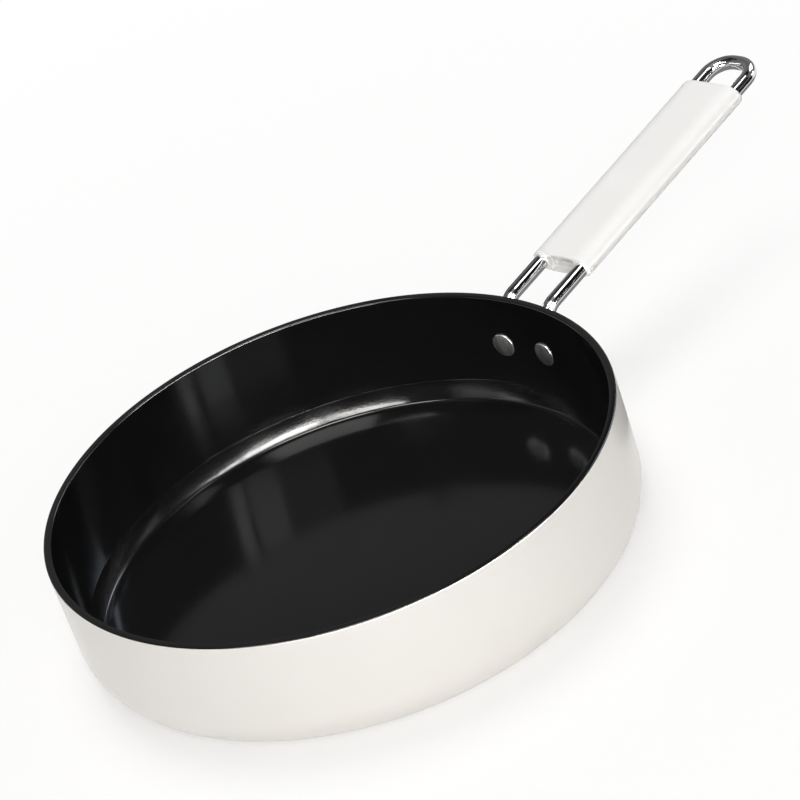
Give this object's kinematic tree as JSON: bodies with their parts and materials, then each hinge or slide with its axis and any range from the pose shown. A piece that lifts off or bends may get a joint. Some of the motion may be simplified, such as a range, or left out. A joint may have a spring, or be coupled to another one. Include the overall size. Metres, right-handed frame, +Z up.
{
  "type": "omelette pan",
  "caption": "Round deep-sided frying pan with a flat rim, dark non-stick inside, and an open wire handle with a moulded sleeve grip and a hanging loop.",
  "frame": {"origin": "middle of the flat underside, where the pan rests on the hob or table", "axes": "+Z is up, +X points from the middle of the pan along the handle, and the pan is symmetric about the plane of X and Z"},
  "size_m": [0.4375, 0.26, 0.083],
  "materials": {
    "lacquered_aluminium": "satin warm white outside, glossy black non-stick inside",
    "nonstick_coat": "glossy black non-stick coat",
    "base_steel": "turned in fine rings",
    "chrome_wire": "mirror chrome",
    "grip_plastic": "smooth warm white, semi-gloss",
    "rivet_steel": "satin, lightly streaked"
  },
  "bodies": {
    "root": {"pan_body": "lacquered_aluminium", "induction_base": "base_steel", "handle_rod": "chrome_wire", "grip_sleeve": "grip_plastic", "rivet_left": "rivet_steel", "rivet_right": "rivet_steel"}
  },
  "joints": []
}
